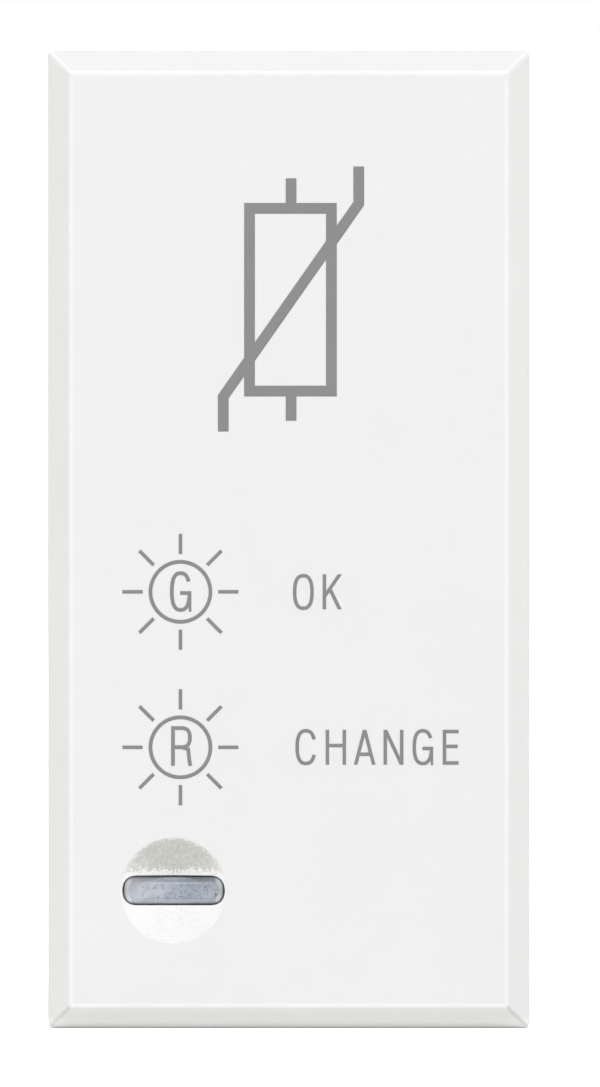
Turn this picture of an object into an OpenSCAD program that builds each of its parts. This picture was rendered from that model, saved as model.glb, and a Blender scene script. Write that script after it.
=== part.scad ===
// Surge protector module, one module wide, for a flush supporting frame.
// X is the width and Z the height. The face looks towards -Y and the wires join at the back.
// The origin is the middle of the seat, which is the back face of the flange.

/* [Front cover] */
// Width of the cover
cover_w = 22.15; // [21.8:0.05:24]
// Height of the cover
cover_h = 45; // [43:0.5:52]
// How far the face stands in front of the seat
face_out = 9; // [8.25:0.25:12]
// Width of the bevel round the face, seen from the front
bevel_w = 1; // [0.6:0.05:1.3]
// Depth of the bevel round the face
bevel_d = 1; // [0.6:0.05:1.5]
// Rounding of the bevel's edges and of the cover's outer corners
edge_r = 0.25; // [0.1:0.05:0.35]
// Thickness of the cover's side walls
cover_wall = 1.2; // [1:0.05:1.4]
// Thickness of the cover's face
face_t = 1.6; // [1.3:0.1:2]
// Height of the ribs behind the face
rib_h = 1; // [0.4:0.1:1.2]
// Thickness of the ribs behind the face
rib_t = 0.8; // [0.5:0.1:1.2]

/* [Indicator] */
// How far the indicator lies from the side of the board's opening
light_in = 2.8; // [2.4:0.1:6]
// How far the indicator lies above the lower end of the board's opening
light_up = 1.75; // [1.4:0.05:3]
// Diameter of the dish round the light guide
dish_d = 4.95; // [4.9:0.05:6]
// Depth of the dish at its middle
dish_depth = 1.05; // [0.6:0.05:1.2]
// Diameter of the flat floor of the dish
dish_floor_d = 1.3; // [0.8:0.1:1.8]
// Length of the slot for the light guide
slot_w = 4.72; // [4.2:0.02:4.8]
// Height of the slot for the light guide
slot_h = 1.38; // [1.2:0.02:1.6]
// Corner radius of the slot
slot_r = 0.6; // [0.4:0.02:0.6]
// Gap all round between the light guide and its slot
slot_gap = 0.07; // [0.05:0.01:0.12]
// How far the light guide's end lies behind the face
guide_sink = 0.9; // [0:0.05:1]
// Rounding of the light guide's front edges
guide_r = 0.2; // [0.1:0.02:0.3]
// How far the light guide's collar stands out past its bar
guide_collar = 0.85; // [0.5:0.05:1]
// Thickness of the light guide's collar
guide_collar_t = 0.8; // [0.5:0.1:1.1]

/* [Clip frame] */
// How far the flange's edge lies inside the cover's edge
flange_inset = 0.2; // [0.1:0.05:0.3]
// Thickness of the flange
flange_t = 1.8; // [1.6:0.1:2.2]
// Width of the seat on each side of the skirt
seat_side = 0.575; // [0.4:0.025:0.9]
// Width of the seat above and below the skirt
seat_end = 2.1; // [1.6:0.1:3]
// Depth of the skirt behind the seat
skirt_d = 14; // [12.5:0.25:15.5]
// Thickness of the skirt's side walls
skirt_side = 1.2; // [1:0.05:1.3]
// Thickness of the skirt's top and bottom walls
skirt_cap = 1.3; // [1.1:0.05:1.6]
// Rounding of the skirt's corners
skirt_r = 0.8; // [0.3:0.1:1]
// How far the collar reaches into the cover
collar_d = 3.6; // [3:0.1:4.2]
// Thickness of the collar's walls
collar_wall = 1.2; // [0.9:0.05:1.4]
// Gap between the collar and the cover's walls
collar_gap = 0.15; // [0.1:0.01:0.2]
// Height of the snap ridges on the collar
ridge_h = 0.35; // [0.25:0.05:0.45]

/* [Spring latches] */
// Gap from the seat to the teeth, which takes the supporting frame
rail_gap = 2.1; // [1.8:0.05:3]
// Width of a latch tongue
latch_w = 9; // [6:0.5:10]
// Length of a latch tongue
latch_l = 8.3; // [6:0.1:9]
// How far a tooth stands out from the skirt
tooth_out = 0.9; // [0.6:0.05:1.1]
// Length of a tooth with its ramp
tooth_l = 3; // [2.2:0.1:4]
// Width of the slots that free a tongue
latch_cut = 0.8; // [0.5:0.05:1]

/* [Rear housing] */
// Length of the shoulder between the skirt and the terminals
shoulder_d = 3.2; // [2.6:0.1:6]
// How far the terminals' part is set back above and below
step_in = 3.3; // [2.6:0.1:4]
// Thickness of the housing's side walls
body_wall = 1.3; // [1.1:0.05:1.5]
// Thickness of the back wall
back_wall = 1.5; // [1.2:0.1:2]
// Thickness of the wall that the wires enter through
entry_wall = 1.6; // [1.3:0.1:1.9]
// How far the housing's lip reaches into the skirt
lip_d = 3.5; // [3:0.1:4]
// Thickness of the lip
lip_wall = 1; // [0.8:0.05:1.1]
// Gap between the lip and the skirt
lip_gap = 0.1; // [0.05:0.01:0.15]
// Height of the rims round the screw wells
rim_h = 0.5; // [0.3:0.1:1]
// Thickness of the fins beside the shoulders
fin_t = 1; // [0.8:0.1:1.3]
// How far the fins run along the terminals' part
fin_l = 5.5; // [3:0.25:8]
// Width of the groove that parts line from neutral
groove_w = 1; // [0.6:0.1:1.2]
// Width of the recess for a label on the back
panel_w = 11; // [6:0.5:12]
// Height of the recess for a label on the back
panel_h = 9; // [6:0.5:10]
// Depth of the recess for a label on the back
panel_d = 0.3; // [0.2:0.05:0.5]

/* [Terminals] */
// Distance between the line and neutral terminals
terminal_pitch = 9.4; // [8.6:0.1:9.8]
// Radius of the wire entries
wire_r = 1.75; // [1.4:0.05:1.9]
// Radius of the holes for the screwdriver
well_r = 2.3; // [1.8:0.1:2.5]
// Radius of a terminal screw's head
head_r = 2.65; // [2.55:0.05:2.9]
// Height of a terminal screw's head
head_h = 2; // [1.4:0.1:2.2]
// Radius of a terminal screw's shank
shank_r = 1.45; // [1.2:0.05:1.6]
// Pitch of the screw's thread
thread_pitch = 0.6; // [0.5:0.05:0.7]
// Turns from open to clamped
screw_turns = 5; // [4:0.5:5]
// Width of a clamp cage
cage_w = 6.4; // [5.8:0.1:6.8]
// Length of a clamp cage along the wire
cage_l = 5; // [4.2:0.1:5.4]
// Thickness of a cage's cheeks
cage_cheek = 0.8; // [0.6:0.05:0.9]
// Thickness of a cage's threaded bar
cage_bar = 1.8; // [1.4:0.1:2]
// Thickness of a cage's clamping bar
cage_floor = 1; // [0.8:0.05:1.1]
// Thickness of the contact bars
bar_t = 0.8; // [0.6:0.05:0.9]

/* [Circuit board] */
// Thickness of the board
board_t = 1.6; // [1:0.1:1.8]
// Gap between the board's edge and the skirt
board_gap = 0.2; // [0.1:0.05:0.25]
// How far the board's front lies in front of the seat
board_out = 0.6; // [0.5:0.05:0.8]
// Width of the ledge that the board rests on
ledge_w = 0.8; // [0.5:0.05:1]

/* [Parts on the board] */
// Diameter of the varistor discs
disc_d = 14.4; // [10:0.2:15]
// Thickness of the varistor discs
disc_t = 3.6; // [3:0.1:4]
// Diameter of the thermal fuses
fuse_d = 3.4; // [3:0.1:3.7]
// Length of the thermal fuses
fuse_l = 6.2; // [5:0.1:6.6]
// Diameter of the gas discharge tube
tube_d = 6; // [5:0.25:6.5]
// Length of the gas discharge tube
tube_l = 6; // [4.5:0.25:6.5]
// Length of the film capacitor
cap_l = 10.5; // [8:0.25:11]
// Thickness of the film capacitor
cap_t = 4.2; // [3:0.1:4.6]
// Height of the film capacitor above the board
cap_h = 9; // [6:0.5:12]
// Diameter of the resistors
resistor_d = 2; // [1.6:0.1:2.2]
// Length of the resistors
resistor_l = 5; // [4:0.25:6.5]
// Diameter of the diodes
diode_d = 1.8; // [1.4:0.1:2]
// Length of the diodes
diode_l = 3; // [2.5:0.1:3.6]
// Diameter of the two lamps
lamp_d = 1.8; // [1.5:0.1:1.9]

/* [Hidden] */
$fn = 48;
past = 1;                                     // how far a cut runs past the face that it opens
arc_steps = 4;                                // straight steps in each rounded corner

// Cover
face_y = -face_out;
face_in_y = face_y + face_t;
cover_back_y = -flange_t;
cover_in_w = cover_w - 2 * cover_wall;
cover_in_h = cover_h - 2 * cover_wall;
rib_cols = 3;
rib_rows = 5;

// Clip frame
flange_w = cover_w - 2 * flange_inset;
flange_h = cover_h - 2 * flange_inset;
skirt_w = flange_w - 2 * seat_side;
skirt_h = flange_h - 2 * seat_end;
skirt_in_w = skirt_w - 2 * skirt_side;
skirt_in_h = skirt_h - 2 * skirt_cap;
board_y0 = -board_out;
board_y1 = board_y0 + board_t;
board_w = skirt_in_w - 2 * board_gap;
board_h = skirt_in_h - 2 * board_gap;
opening_w = board_w - 2 * ledge_w;
opening_h = board_h - 2 * ledge_w;

// Light guide, and the boss behind the face that takes its collar
light_x = -opening_w / 2 + light_in;
light_z = -opening_h / 2 + light_up;
guide_w = slot_w - 2 * slot_gap;
guide_h = slot_h - 2 * slot_gap;
slot_end_r = min(slot_r, slot_h / 2 - 0.02);
dish_floor_y = face_y + min(dish_depth, face_t - 0.4);
guide_end_r = slot_end_r - slot_gap;
guide_front_y = face_y + min(guide_sink, face_t - guide_r - 0.3);
collar_fit = 0.1;                             // gap between the guide's collar and its boss
boss_wall = 0.9;
boss_d = guide_collar_t + 0.6;
boss_in = guide_collar + collar_fit;          // from the guide's bar to the boss's wall
stem_inset = 0.2;
lamp_air = 0.3;                               // from the lamps to the guide's inner end
lamp_l = 2.4;
lamp_gap = 0.3;
lamp_rim = 0.1;
lamp_rim_t = 0.4;

// Collar and snap ridges
collar_w = cover_in_w - 2 * collar_gap;
collar_h = cover_in_h - 2 * collar_gap;
collar_y = max(cover_back_y - collar_d, face_in_y + boss_d + 0.2);
ridge_y = (cover_back_y + collar_y) / 2;
ridge_l = 8;
ridge_rise = ridge_h + 0.15;
ridge_gap = 0.1;

// Spring latches, and the lip that lies behind their roots
lip_y = skirt_d - lip_d;
tongue_y = rail_gap - 0.6;                    // free end of a latch tongue
latch_root = min(tongue_y + latch_l, lip_y - 0.5);

// Terminals, from the shoulder backwards
step_h = skirt_h - 2 * step_in;
step_y0 = skirt_d + 1;
step_y1 = skirt_d + shoulder_d;
step_r = 0.5;
back_r = 0.8;
funnel = 0.4;
funnel_rim = 0.6;                             // from the shoulder to the funnel of a wire entry
wire_play = 0.1;
screw_play = 0.1;
bar_play = 0.2;
rise = screw_turns * thread_pitch;
rise_spare = 0.9;
wire_y = step_y1 + funnel_rim + funnel + wire_r;
bar_y0 = wire_y + wire_r;
bar_y1 = bar_y0 + bar_t;
cage_bar_y = bar_y1 + bar_play;
cage_y1 = cage_bar_y + cage_bar;
cage_floor_y = bar_y0 - 2 * wire_r - wire_play;
cage_y0 = cage_floor_y - cage_floor;
cage_r = 0.5;
tip_y = bar_y1 + screw_play;
head_y0 = cage_y1 + rise + rise_spare;
head_y1 = head_y0 + head_h;
chamber_y = head_y1 + screw_play;
rear_d = chamber_y + back_wall;
thread_gap = 0.05;
tip_bevel = 0.4;
drive_w = 0.8;
drive_d = 0.8;
cross_d = 1.1;
cross_l = 3.2;
grip_pitch = 1.2;                             // ridges across the clamping bar
grip_h = 0.3;
grip_w = 0.8;

// Rear housing
lip_w = skirt_in_w - 2 * lip_gap;
lip_h = skirt_in_h - 2 * lip_gap;
lip_in_w = lip_w - 2 * lip_wall;
lip_in_h = lip_h - 2 * lip_wall;
lip_root_y = skirt_d + 1.3;
post_gap = 0.05;
post_w = 2.2;
post_h = 3;
lug_out = 0.7;
lug_l = 1.5;
lug_w = 5;
lug_y = lip_y + 0.4;
lug_z = skirt_h * 0.26;
lug_gap = 0.15;
shell_in_w = skirt_w - 2 * body_wall;
pocket_w = cage_w + 0.5;
pocket_h = cage_l + 0.4;
pocket_top = step_h / 2 - entry_wall;
pocket_floor = 1.6;
terminal_z = pocket_top - pocket_h / 2;
middle_h = 2 * (pocket_top - pocket_h - pocket_floor);
block_y = cage_y0 - 0.2;
web_t = 1.2;                                  // from the earth terminal to the hollows beside it
rim_wall = 1.1;
rim_bevel = 0.3;
head_gap = 0.1;
side_recess = 0.3;
recess_y = [step_y1 + 1, rear_d - 2.4];

// Where each terminal lies: its place across, up (1) or down (-1), and the side its bar runs along
LINE = [-terminal_pitch / 2, 1, -1];
NEUTRAL = [terminal_pitch / 2, 1, 1];
EARTH = [0, -1, 1];

// Contact bars
bar_w = cage_w - 2 * cage_cheek - 0.6;
strip_h = 2.1;
strip_x1 = lip_in_w / 2 - 0.25;
strip_x0 = strip_x1 - bar_t;
strip_z1 = middle_h / 2 - 1;
strip_z0 = strip_z1 - strip_h;
strip_y0 = board_y1 + 0.8;
bar_slot_gap = 0.2;
pin_w = 1;
pin_foot = 1;                                 // how far every lead stands out past the board
bend_r = 0.4;

// Leads, and the notches in the board that clear the latches
lead_r = 0.3;
lead_gap = 0.12;
hole_r = lead_r + lead_gap;
lead_bend = 0.6;
notch_gap = 0.4;
notch_d = 0.9;

// Discs with the fuses between them, in the middle of the board
part_lift = 0.3;
part_gap = 0.3;
disc_lift = 1.2;
disc_y = board_y1 + disc_lift + disc_d / 2;
disc_x = fuse_d / 2 + 0.2 + disc_t / 2;
disc_leads = 7.5;
disc_step = 0.7;
fuse_lift = 0.7;
fuse_y = [for (i = [0, 1]) board_y1 + fuse_lift + fuse_d / 2 + i * (fuse_d + fuse_lift)];
fuse_span = [for (i = [0, 1]) fuse_l + 2.4 + 2.4 * i];
fuse_tip = 0.8;

// Above them the capacitor and the resistors
cap_z = board_h / 2 - 1.1 - cap_t / 2;
cap_leads = 0.75 * cap_l;
cap_foot = 0.8;
resistor_z = [for (i = [0, 1]) cap_z - cap_t / 2 - (i + 1) * part_gap - (i + 0.5) * resistor_d];
resistor_span = resistor_l + 2.2;

// Below them the gas discharge tube and the diodes
tube_z = 6.2 - board_h / 2;
tube_cap = 0.2;
tube_cap_l = 1.2;
tube_y = board_y1 + 0.5 + tube_cap + tube_d / 2;
tube_span = tube_l + 2;
diode_in = 3.1;                               // from the board's side to the middle of a diode
diode_x = max(board_w / 2 - diode_in, tube_span / 2 + lead_r + part_gap + diode_d / 2);
diode_z = tube_z + 0.5;
diode_span = diode_l + 1.6;

// Lamps
lamp_pitch = lamp_d + lamp_gap;
lamp_leads = 1;
lamp_lead_r = 0.2;
lamp_x = [light_x - lamp_pitch / 2, light_x + lamp_pitch / 2];

function unit(v) = v / norm(v);

// The corner at q, between p and s, rounded to the radius r
function corner(p, q, s, r) =
    let (
        a = unit(p - q),
        b = unit(s - q),
        half = acos(a * b) / 2,
        middle = q + unit(a + b) * r / sin(half),
        from = q + a * r / tan(half) - middle,
        to = q + b * r / tan(half) - middle,
        start = atan2(from.y, from.x),
        turn = (atan2(to.y, to.x) - start + 540) % 360 - 180
    )
    [for (i = [0:arc_steps]) middle + r * [cos(start + turn * i / arc_steps), sin(start + turn * i / arc_steps)]];

// An outline given as [x, y, radius], with its corners rounded
function rounded(pts) =
    let (n = len(pts), at = [for (p = pts) [p.x, p.y]])
    [for (i = [0:n - 1]) each pts[i].z > 0
        ? corner(at[(i + n - 1) % n], at[i], at[(i + 1) % n], pts[i].z)
        : [at[i]]];

function rectangle(w, h, r) =
    [[-w / 2, -h / 2, r], [w / 2, -h / 2, r], [w / 2, h / 2, r], [-w / 2, h / 2, r]];

// An outline drawn as (x, z), (y, z) or (x, y), and carried along the axis that is left
module along_y(y0, y1) translate([0, y1, 0]) rotate([90, 0, 0]) linear_extrude(y1 - y0) children();
module along_x(x0, x1) translate([x0, 0, 0]) rotate([90, 0, 90]) linear_extrude(x1 - x0) children();
module along_z(z0, z1) translate([0, 0, z0]) linear_extrude(z1 - z0) children();

module slab(w, h, y0, y1, r) along_y(y0, y1) polygon(rounded(rectangle(w, h, r)));

module box(x0, x1, y0, y1, z0, z1) translate([x0, y0, z0]) cube([x1 - x0, y1 - y0, z1 - z0]);

module rod_y(x, z, y0, y1, r, r_end) translate([x, y0, z]) rotate([-90, 0, 0])
    cylinder(h = y1 - y0, r1 = r, r2 = is_undef(r_end) ? r : r_end);

module both_ends() for (s = [0, 1]) mirror([0, 0, s]) children();
module both_sides() for (s = [0, 1]) mirror([s, 0, 0]) children();

// Front cover

function bevel_outline(w) = [
    [-w / 2, cover_back_y, 0], [-w / 2, face_y + bevel_d, edge_r], [-w / 2 + bevel_w, face_y, edge_r],
    [w / 2 - bevel_w, face_y, edge_r], [w / 2, face_y + bevel_d, edge_r], [w / 2, cover_back_y, 0]
];

module cover_outside() intersection() {
    along_z(-cover_h, cover_h) polygon(rounded(bevel_outline(cover_w)));
    rotate([0, 90, 0]) along_z(-cover_w, cover_w) polygon(rounded(bevel_outline(cover_h)));
    slab(cover_w, cover_h, face_y - past, cover_back_y, edge_r);
}

module cover_ribs() {
    for (i = [1:rib_cols]) {
        x = (i / (rib_cols + 1) - 0.5) * cover_in_w;
        box(x - rib_t / 2, x + rib_t / 2, face_in_y - past / 2, face_in_y + rib_h,
            -cover_in_h / 2 - past / 2, cover_in_h / 2 + past / 2);
    }
    for (i = [1:rib_rows]) {
        z = (i / (rib_rows + 1) - 0.5) * cover_in_h;
        box(-cover_in_w / 2 - past / 2, cover_in_w / 2 + past / 2, face_in_y - past / 2, face_in_y + rib_h,
            z - rib_t / 2, z + rib_t / 2);
    }
}

// An obround or rounded bar at the indicator
module at_light(w, h, y0, y1, r) translate([light_x, 0, light_z]) slab(w, h, y0, y1, r);

// The ridges on the collar, or with a gap the grooves that they snap into
module snap_ridges(gap) {
    along = ridge_l / 2 + gap;
    peak = ridge_h + gap;
    half = ridge_rise + gap;
    both_ends() along_x(-along, along)
        polygon([[ridge_y - half, collar_h / 2 - gap], [ridge_y, collar_h / 2 + peak],
            [ridge_y + half, collar_h / 2 - gap], [ridge_y, collar_h / 2 - past]]);
    both_sides() for (z = [-1, 1] * cover_in_h / 4) along_z(z - along, z + along)
        polygon([[collar_w / 2 - gap, ridge_y - half], [collar_w / 2 + peak, ridge_y],
            [collar_w / 2 - gap, ridge_y + half], [collar_w / 2 - past, ridge_y]]);
}

module front_cover() color("whitesmoke") difference() {
    union() {
        difference() {
            cover_outside();
            slab(cover_in_w, cover_in_h, face_in_y, cover_back_y + past, edge_r);
            snap_ridges(ridge_gap);
        }
        cover_ribs();
        at_light(guide_w + 2 * (boss_in + boss_wall), guide_h + 2 * (boss_in + boss_wall),
            face_in_y - past / 2, face_in_y + boss_d, slot_end_r + guide_collar + boss_wall);
    }
    rod_y(light_x, light_z, face_y - 0.02, dish_floor_y, dish_d / 2, dish_floor_d / 2);
    at_light(slot_w, slot_h, face_y - past, face_in_y + past, slot_end_r);
    at_light(guide_w + 2 * boss_in, guide_h + 2 * boss_in, face_in_y, cover_back_y, slot_end_r + guide_collar);
}

// Light guide

function guide_crown(w) = [
    [-w / 2, face_in_y + past, 0], [-w / 2, guide_front_y, guide_r],
    [w / 2, guide_front_y, guide_r], [w / 2, face_in_y + past, 0]
];

module light_guide() color("lightsteelblue") union() {
    translate([light_x, 0, light_z]) intersection() {
        slab(guide_w, guide_h, guide_front_y, face_in_y, guide_end_r);
        along_z(-guide_h, guide_h) polygon(rounded(guide_crown(guide_w)));
        rotate([0, 90, 0]) along_z(-guide_w, guide_w) polygon(rounded(guide_crown(guide_h)));
    }
    at_light(guide_w + 2 * guide_collar, guide_h + 2 * guide_collar, face_in_y,
        face_in_y + guide_collar_t, slot_end_r + guide_collar);
    at_light(guide_w - stem_inset, guide_h + stem_inset, face_in_y + guide_collar_t,
        board_y0 - lamp_l - lamp_air, guide_end_r);
}

// Clip frame

module latch_tooth() along_x(-latch_w / 2, latch_w / 2)
    polygon([[rail_gap, skirt_h / 2 - skirt_cap / 2], [rail_gap, skirt_h / 2 + tooth_out],
        [rail_gap + tooth_l / 4, skirt_h / 2 + tooth_out], [rail_gap + tooth_l, skirt_h / 2],
        [rail_gap + tooth_l, skirt_h / 2 - skirt_cap / 2]]);

// The slots down both sides and across the free end of a tongue
module latch_slots() {
    z0 = skirt_in_h / 2 - past / 2;
    z1 = skirt_h / 2 + past;
    both_sides() box(latch_w / 2, latch_w / 2 + latch_cut, tongue_y - latch_cut, latch_root, z0, z1);
    box(-latch_w / 2 - past / 4, latch_w / 2 + past / 4, tongue_y - latch_cut, tongue_y, z0, z1);
}

module lug_window() box(skirt_in_w / 2 - past, skirt_w / 2 + past, lug_y - lug_gap,
    lug_y + lug_l + lug_gap, -lug_w / 2 - lug_gap, lug_w / 2 + lug_gap);

module clip_frame() color("gainsboro") difference() {
    union() {
        slab(flange_w, flange_h, -flange_t, 0, edge_r);
        slab(skirt_w, skirt_h, -flange_t / 2, skirt_d, skirt_r);
        difference() {
            slab(collar_w, collar_h, collar_y, cover_back_y + flange_t / 2, edge_r);
            slab(collar_w - 2 * collar_wall, collar_h - 2 * collar_wall, collar_y - past, cover_back_y, edge_r);
        }
        snap_ridges(0);
        both_ends() latch_tooth();
    }
    slab(skirt_in_w, skirt_in_h, board_y0, skirt_d + past, edge_r);
    slab(opening_w, opening_h, cover_back_y - past, board_y0 + past / 4, edge_r);
    both_ends() latch_slots();
    both_sides() for (z = [-lug_z, lug_z]) translate([0, 0, z]) lug_window();
}

// Rear housing

// The side view, with the shoulders that leave room for the wires above and below
function step_outline() = [
    [skirt_d, -skirt_h / 2, 0], [step_y0, -skirt_h / 2, step_r], [step_y1, -step_h / 2, step_r],
    [rear_d, -step_h / 2, back_r], [rear_d, step_h / 2, back_r], [step_y1, step_h / 2, step_r],
    [step_y0, skirt_h / 2, step_r], [skirt_d, skirt_h / 2, 0]
];

function fin_outline() = [
    [skirt_d, -skirt_h / 2], [step_y0, -skirt_h / 2], [step_y1 + fin_l, -step_h / 2],
    [step_y1 + fin_l, step_h / 2], [step_y0, skirt_h / 2], [skirt_d, skirt_h / 2]
];

// The top view, with shallow side recesses that clear the next module
function plan_outline() = let (half = skirt_w / 2) [
    [-half, skirt_d, 0], [half, skirt_d, 0],
    [half, recess_y[0], 0], [half - side_recess, recess_y[0] + side_recess, 0],
    [half - side_recess, recess_y[1] - side_recess, 0], [half, recess_y[1], 0],
    [half, rear_d, back_r], [-half, rear_d, back_r],
    [-half, recess_y[1], 0], [-half + side_recess, recess_y[1] - side_recess, 0],
    [-half + side_recess, recess_y[0] + side_recess, 0], [-half, recess_y[0], 0]
];

module housing_outside() intersection() {
    union() {
        along_x(-skirt_w, skirt_w) polygon(rounded(step_outline()));
        both_sides() along_x(skirt_w / 2 - fin_t, skirt_w) polygon(fin_outline());
    }
    along_z(-skirt_h, skirt_h) polygon(rounded(plan_outline()));
    slab(skirt_w, skirt_h, skirt_d, rear_d + past, skirt_r);
}

module housing_lug() along_z(-lug_w / 2, lug_w / 2)
    polygon([[lip_w / 2 - lip_wall / 2, lug_y], [lip_w / 2, lug_y], [lip_w / 2 + lug_out, lug_y + lug_l * 0.7],
        [lip_w / 2 + lug_out, lug_y + lug_l], [lip_w / 2 - lip_wall / 2, lug_y + lug_l]]);

// The corner posts that hold the board on its ledge
module board_post() box(lip_w / 2 - post_w, lip_w / 2, board_y1 + post_gap, lip_y + past,
    lip_h / 2 - post_h, lip_h / 2);

module terminal_hollows(t) {
    z = t[1] * terminal_z;
    box(t[0] - pocket_w / 2, t[0] + pocket_w / 2, lip_root_y, chamber_y, z - pocket_h / 2, z + pocket_h / 2);
    box(t[0] - bar_w / 2 - bar_slot_gap, t[0] + bar_w / 2 + bar_slot_gap, lip_root_y, bar_y1 + bar_slot_gap,
        min(0, z), max(0, z));
    rod_y(t[0], z, head_y0 - head_gap, chamber_y, head_r + head_gap);
    rod_y(t[0], z, chamber_y - past, rear_d + rim_h + past, well_r);
    rod_y(t[0], z, rear_d + rim_h - rim_bevel, rear_d + rim_h + 0.02, well_r, well_r + rim_bevel);
    mirror([0, 0, t[1] < 0 ? 1 : 0]) {
        translate([t[0], wire_y, pocket_top - past]) cylinder(h = entry_wall + 2 * past, r = wire_r);
        translate([t[0], wire_y, step_h / 2 - funnel])
            cylinder(h = funnel + 0.02, r1 = wire_r, r2 = wire_r + funnel);
    }
}

module rear_housing() color("dimgray") difference() {
    union() {
        housing_outside();
        slab(lip_w, lip_h, lip_y, lip_root_y, edge_r);
        both_sides() {
            both_ends() board_post();
            for (z = [-lug_z, lug_z]) translate([0, 0, z]) housing_lug();
        }
        for (t = [LINE, NEUTRAL, EARTH])
            rod_y(t[0], t[1] * terminal_z, rear_d - past, rear_d + rim_h, well_r + rim_wall);
    }
    slab(lip_in_w, lip_in_h, board_y1 - past, lip_root_y, 0);
    box(-shell_in_w / 2, shell_in_w / 2, lip_root_y - past / 4, block_y, -pocket_top, pocket_top);
    box(-shell_in_w / 2, shell_in_w / 2, lip_root_y, chamber_y, -middle_h / 2, middle_h / 2);
    for (t = [LINE, NEUTRAL, EARTH]) terminal_hollows(t);
    both_sides() box(pocket_w / 2 + web_t, shell_in_w / 2, lip_root_y, chamber_y,
        -pocket_top, -pocket_top + pocket_h);
    box(-groove_w / 2, groove_w / 2, wire_y - wire_r, rear_d + past, terminal_z, step_h / 2 + past);
    slab(panel_w, panel_h, rear_d - panel_d, rear_d + past, skirt_r);
}

// Circuit board

// Where every lead passes through the board: across, up and the radius of the hole
function disc_spots() = [for (s = [-1, 1], e = [-1, 1])
    [s * disc_x + e * disc_step, e * disc_leads / 2, hole_r]];
function fuse_spots() = [for (span = fuse_span, e = [-1, 1]) [0, e * span / 2, hole_r]];
function tube_spots() = [for (e = [-1, 1]) [e * tube_span / 2, tube_z, hole_r]];
function cap_spots() = [for (e = [-1, 1]) [e * cap_leads / 2, cap_z, hole_r]];
function resistor_spots() = [for (z = resistor_z, e = [-1, 1]) [e * resistor_span / 2, z, hole_r]];
function diode_spots() = [for (s = [-1, 1], e = [-1, 1])
    [s * diode_x, diode_z + e * diode_span / 2, hole_r]];
function lamp_spots() = [for (x = lamp_x, e = [-1, 1])
    [x, light_z + e * lamp_leads / 2, lamp_lead_r + lead_gap]];
function pin_spots() = [for (t = [LINE, NEUTRAL, EARTH])
    [t[2] * (strip_x0 + strip_x1) / 2, t[1] * (strip_z0 + strip_z1) / 2, norm([bar_t, pin_w]) / 2 + lead_gap]];

module circuit_board() color("darkgreen") difference() {
    slab(board_w, board_h, board_y0, board_y1, ledge_w / 2);
    both_ends() box(-latch_w / 2 - notch_gap, latch_w / 2 + notch_gap, board_y0 - past, board_y1 + past,
        board_h / 2 - notch_d, board_h / 2 + past);
    for (s = concat(disc_spots(), fuse_spots(), tube_spots(), cap_spots(), resistor_spots(),
        diode_spots(), lamp_spots(), pin_spots()))
        rod_y(s.x, s.y, board_y0 - past, board_y1 + past, s.z);
}

// Parts on the board

module drop(x, z, y, r) rod_y(x, z, board_y0 - pin_foot, y, r);

module varistor(side) color("royalblue") union() {
    translate([side * disc_x, disc_y, 0]) rotate([0, 90, 0]) rotate_extrude()
        polygon(rounded([[0, -disc_t / 2, 0], [disc_d / 2, -disc_t / 2, disc_t / 4],
            [disc_d / 2, disc_t / 2, disc_t / 4], [0, disc_t / 2, 0]]));
    for (e = [-1, 1])
        drop(side * disc_x + e * disc_step, e * disc_leads / 2, disc_y - disc_d / 4, lead_r);
}

// The two leads of a part that lies along X at the height y, bent down through the board
module axial_leads(span, y) both_sides() {
    translate([0, y, 0]) rotate([0, 90, 0]) cylinder(h = span / 2 - lead_bend, r = lead_r);
    translate([span / 2 - lead_bend, y - lead_bend, 0])
        rotate_extrude(angle = 90) translate([lead_bend, 0]) circle(r = lead_r);
    drop(span / 2, 0, y - lead_bend, lead_r);
}

module thermal_fuse(i) color("silver") rotate([0, 90, 0]) union() {
    translate([0, fuse_y[i], 0]) rotate([0, 90, 0])
        rotate_extrude() polygon([[0, -fuse_l / 2 - fuse_tip], [2 * lead_r, -fuse_l / 2 - fuse_tip],
            [fuse_d / 2, -fuse_l / 2], [fuse_d / 2, fuse_l / 2], [0, fuse_l / 2]]);
    axial_leads(fuse_span[i], fuse_y[i]);
}

module gas_discharge_tube() color("linen") translate([0, 0, tube_z]) union() {
    translate([0, tube_y, 0]) rotate([0, 90, 0]) {
        cylinder(h = tube_l, r = tube_d / 2, center = true);
        for (e = [-1, 1]) translate([0, 0, e * (tube_l - tube_cap_l) / 2])
            cylinder(h = tube_cap_l, r = tube_d / 2 + tube_cap, center = true);
    }
    axial_leads(tube_span, tube_y);
}

module film_capacitor() color("gold") translate([0, 0, cap_z]) union() {
    slab(cap_l, cap_t, board_y1 + part_lift, board_y1 + part_lift + cap_h, skirt_r / 2);
    for (x = [-1, 1], z = [-1, 1])
        rod_y(x * (cap_l / 2 - cap_foot), z * (cap_t / 2 - cap_foot), board_y1,
            board_y1 + part_lift + past / 2, cap_foot / 2);
    for (e = [-1, 1]) drop(e * cap_leads / 2, 0, board_y1 + part_lift + past, lead_r);
}

// A small round part that lies along X, with ends of the diameter d and a slimmer waist
module axial_part(d, l, waist, span) {
    y = board_y1 + part_lift + d / 2;
    translate([0, y, 0]) rotate([0, 90, 0]) rotate_extrude() polygon([
        [0, -l / 2], [d / 2, -l / 2 + d / 10], [d / 2, -l / 4], [d / 2 - waist, -l / 6],
        [d / 2 - waist, l / 6], [d / 2, l / 4], [d / 2, l / 2 - d / 10], [0, l / 2]]);
    axial_leads(span, y);
}

module resistor(i) color("tan") translate([0, 0, resistor_z[i]]) union()
    axial_part(resistor_d, resistor_l, resistor_d / 10, resistor_span);

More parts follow.
